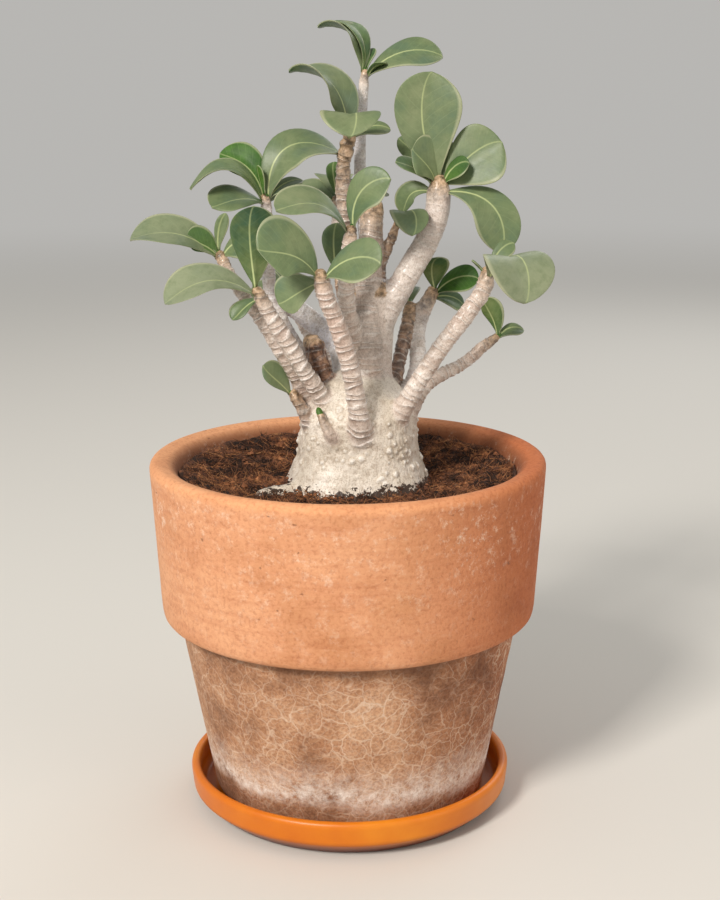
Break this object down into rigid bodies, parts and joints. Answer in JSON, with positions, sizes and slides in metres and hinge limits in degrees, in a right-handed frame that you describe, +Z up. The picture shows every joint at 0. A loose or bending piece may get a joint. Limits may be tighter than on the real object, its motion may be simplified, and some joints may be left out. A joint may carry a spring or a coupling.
{
  "type": "potted desert rose",
  "caption": "Potted desert rose with a swollen caudex, ringed branches and leaf rosettes, in a collared clay pot on a saucer.",
  "frame": {"origin": "centre of the saucer's underside, on the pot's axis", "axes": "+Z up along the pot's axis, -Y towards the side that the picture shows, +X to its right"},
  "size_m": [0.1527, 0.15, 0.2965],
  "materials": {
    "saucer": "smooth fired clay, satin",
    "pot": "matt unglazed clay with pale salt marks",
    "soil": "loose coir fibre",
    "bark": "smooth waxy bark",
    "leaf": "satin fleshy leaf",
    "young_leaf": "satin fleshy leaf"
  },
  "bodies": {
    "root": {"saucer": "saucer", "pot": "pot", "soil": "soil", "caudex": "bark", "leaves_far_left": "leaf", "leaves_left": "leaf", "leaves_upper_left": "leaf", "leaves_sprout": "young_leaf", "leaves_front": "leaf", "leaves_centre": "leaf", "leaves_inner": "leaf", "leaves_crown": "leaf", "leaves_top": "leaf", "leaves_right_high": "leaf", "leaves_side": "leaf", "leaves_right": "leaf", "leaves_back_right": "leaf", "leaves_right_low": "leaf", "leaves_dark": "leaf", "leaves_back_high": "leaf", "leaves_back_low": "leaf"}
  },
  "joints": []
}
